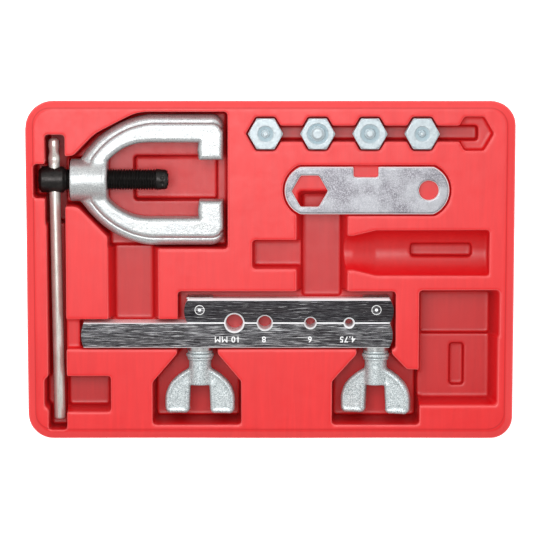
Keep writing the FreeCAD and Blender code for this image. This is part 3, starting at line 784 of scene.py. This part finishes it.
def mark_text(name, text, x, y, z, height):
    """Stamped characters, read from the far side of the bar."""
    curve = bpy.data.curves.new(name, "FONT")
    curve.body = text
    curve.align_x = "CENTER"
    curve.align_y = "CENTER"
    curve.size = height * FONT_PER_CAPITAL * MM
    curve.space_character = 1.12
    curve.extrude = 0.006 * MM
    curve.offset = 0.065 * MM
    obj = new_object(name, curve)
    obj.location = (x * MM, y * MM, z)
    obj.rotation_euler = (0, 0, math.pi)
    bpy.context.view_layer.update()
    mesh = bpy.data.meshes.new_from_object(obj.evaluated_get(bpy.context.evaluated_depsgraph_get()))
    mesh.transform(obj.matrix_world)
    bpy.data.objects.remove(obj)
    return new_object(name, mesh)


def ring_mark(name, x, y, z, inner, outer):
    """A thin bright circle on the bar."""
    parts = 40
    turns = [math.tau * i / parts for i in range(parts)]
    low, high = z - MARK_LIFT, z + MARK_LIFT
    rings = [[(x + r * math.cos(t), y + r * math.sin(t), level) for t in turns]
             for r, level in ((inner, low), (inner, high), (outer, high), (outer, low), (inner, low))]
    return swept(name, rings, closed_ends=False)


def bright_edge(name, node, reach, drop):
    """The bevelled long edge on a jaw's far side; reach and drop are in millimetres."""
    low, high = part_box(node)
    profile = ((-0.25, 0.05), (-0.1, 0.06), (reach * 0.35, -drop * 0.22), (reach, -drop),
               (reach, -drop - 0.4), (-0.25, -0.4))
    start, stop, taper = low.x + 2.1 * MM, high.x - 2.1 * MM, 0.8 * MM
    rings = []
    for x, scale in ((start, 0.4), (start + taper, 1.0), (stop - taper, 1.0), (stop, 0.4)):
        rings.append([(x, high.y + y * scale * MM, high.z + z * scale * MM) for y, z in profile])
    return swept(name, rings)


# --- the object ------------------------------------------------------------------------------

soft_piece("storage_tray", "tray_shell", 0.7, 5, 190000, ripples=((60, 0.25),))
yoke_piece()
for side, turn in (("left", -3), ("right", -13)):
    wing_nut_piece(side, turn)
for node in ("adapter_6", "adapter_10", "adapter_8", "adapter_4_75"):
    soft_piece(node, node + "_hexagon", 0.24, 4, 40000)
soft_piece("spanner", "spanner_plate", 0.36, 12, 70000, ripples=((9.0, 0.10),))

turned_piece(thread_piece(), "forcing_screw", 25)
turned_piece(head_piece(), "forcing_screw", 40)
turned_piece(cross_handle_piece(), "tommy_bar", 24)

for node, obj in NODES.items():
    if not obj.hide_render:
        paint(obj, MATERIALS["jaw_steel_dark" if node == "short_jaw" else SLOT_OF[node]])
        eased(obj, 0.18 if node.endswith("jaw") or node.startswith("cross") else 0.12, 35)

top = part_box("long_jaw")[1].z + MARK_LIFT
stamped = stamped_mark()
for name, text, x in SIZE_MARKS:
    mark = mark_text(name, text, x, MARK_Y, top, MARK_HEIGHT)
    paint(mark, stamped)
    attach(mark, "bar_long_side")

bright = edge_steel()
trim = [bright_edge("short_jaw_bevel", "short_jaw", 0.9, 2.0)]
for side in ("left", "right"):
    low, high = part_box("cross_pin_" + side)
    middle = (low + high) / 2
    trim.append(ring_mark("pin_ring_" + side, middle.x, middle.y, top, 2.45 * MM, 2.72 * MM))
for obj in trim:
    fix_normals(obj)
    paint(obj, bright)
    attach(obj, "bar_short_side")


# --- floor, light and camera -----------------------------------------------------------------


def floor():
    """A plain pale sheet just under the tray, bright enough to read as white paper."""
    s = Shader("pale_floor", Roughness=0.9)
    s.colour(s.ramp(s.noise(60, 2, 0.5), ((0.3, 0.93), (0.7, 0.96))))
    s.bsdf.inputs["Emission Color"].default_value = (1, 1, 1, 1)
    s.bsdf.inputs["Emission Strength"].default_value = 0.9
    half, level = 4.0, -0.5 * MM
    corners = [(-half, -half, level), (half, -half, level), (half, half, level), (-half, half, level)]
    obj = mesh_from("floor", corners, [(0, 1, 2, 3)])
    paint(obj, s.material)


def studio_sky():
    """A light tent: bright sides, brightest to the north, under a dark top."""
    world = bpy.data.worlds.new("studio")
    bpy.context.scene.world = world
    world.use_nodes = True
    nodes, links = world.node_tree.nodes, world.node_tree.links
    where = nodes.new("ShaderNodeTexCoord")
    split = nodes.new("ShaderNodeSeparateXYZ")
    links.new(where.outputs["Generated"], split.inputs[0])
    ramp = nodes.new("ShaderNodeValToRGB")
    ramp.color_ramp.interpolation = "EASE"
    stops = ((0.0, 0.55), (0.45, 0.95), (0.80, 0.85), (0.96, 0.16))
    elements = ramp.color_ramp.elements
    while len(elements) < len(stops):
        elements.new(0.5)
    for element, (position, grey) in zip(elements, stops):
        element.position = position
        element.color = (grey, grey, grey, 1)
    links.new(split.outputs["Z"], ramp.inputs["Fac"])
    north = nodes.new("ShaderNodeMath")
    north.operation = "MULTIPLY_ADD"
    north.inputs[1].default_value = 0.32
    north.inputs[2].default_value = 0.98
    links.new(split.outputs["Y"], north.inputs[0])
    links.new(ramp.outputs["Color"], nodes["Background"].inputs["Color"])
    links.new(north.outputs[0], nodes["Background"].inputs["Strength"])


def soft_box(name, place, size, power, aim):
    """A rectangular panel of light that the camera doesn't see."""
    data = bpy.data.lights.new(name, "AREA")
    data.shape = "RECTANGLE"
    data.size, data.size_y = size
    data.energy = power
    obj = new_object(name, data)
    obj.location = place
    obj.rotation_euler = (Vector(aim) - Vector(place)).to_track_quat("-Z", "Y").to_euler()
    obj.visible_camera = False


def camera():
    """Almost straight above the tray, a little to the north, as in the photograph."""
    data = bpy.data.cameras.new("camera")
    data.lens = 166.7
    data.clip_start = 0.05
    obj = new_object("camera", data)
    tilt = math.radians(7.2)
    aim = Vector((0, 0, 0.038))
    obj.location = aim + Vector((0, math.sin(tilt), math.cos(tilt))) * 1.4
    obj.rotation_euler = (-tilt, 0, 0)
    bpy.context.scene.camera = obj


floor()
studio_sky()
soft_box("panel_overhead", (-0.09, 0.20, 1.0), (0.60, 0.5), 6.4, (-0.09, 0.20, 0))
camera()
bpy.context.scene.view_settings.view_transform = "Standard"
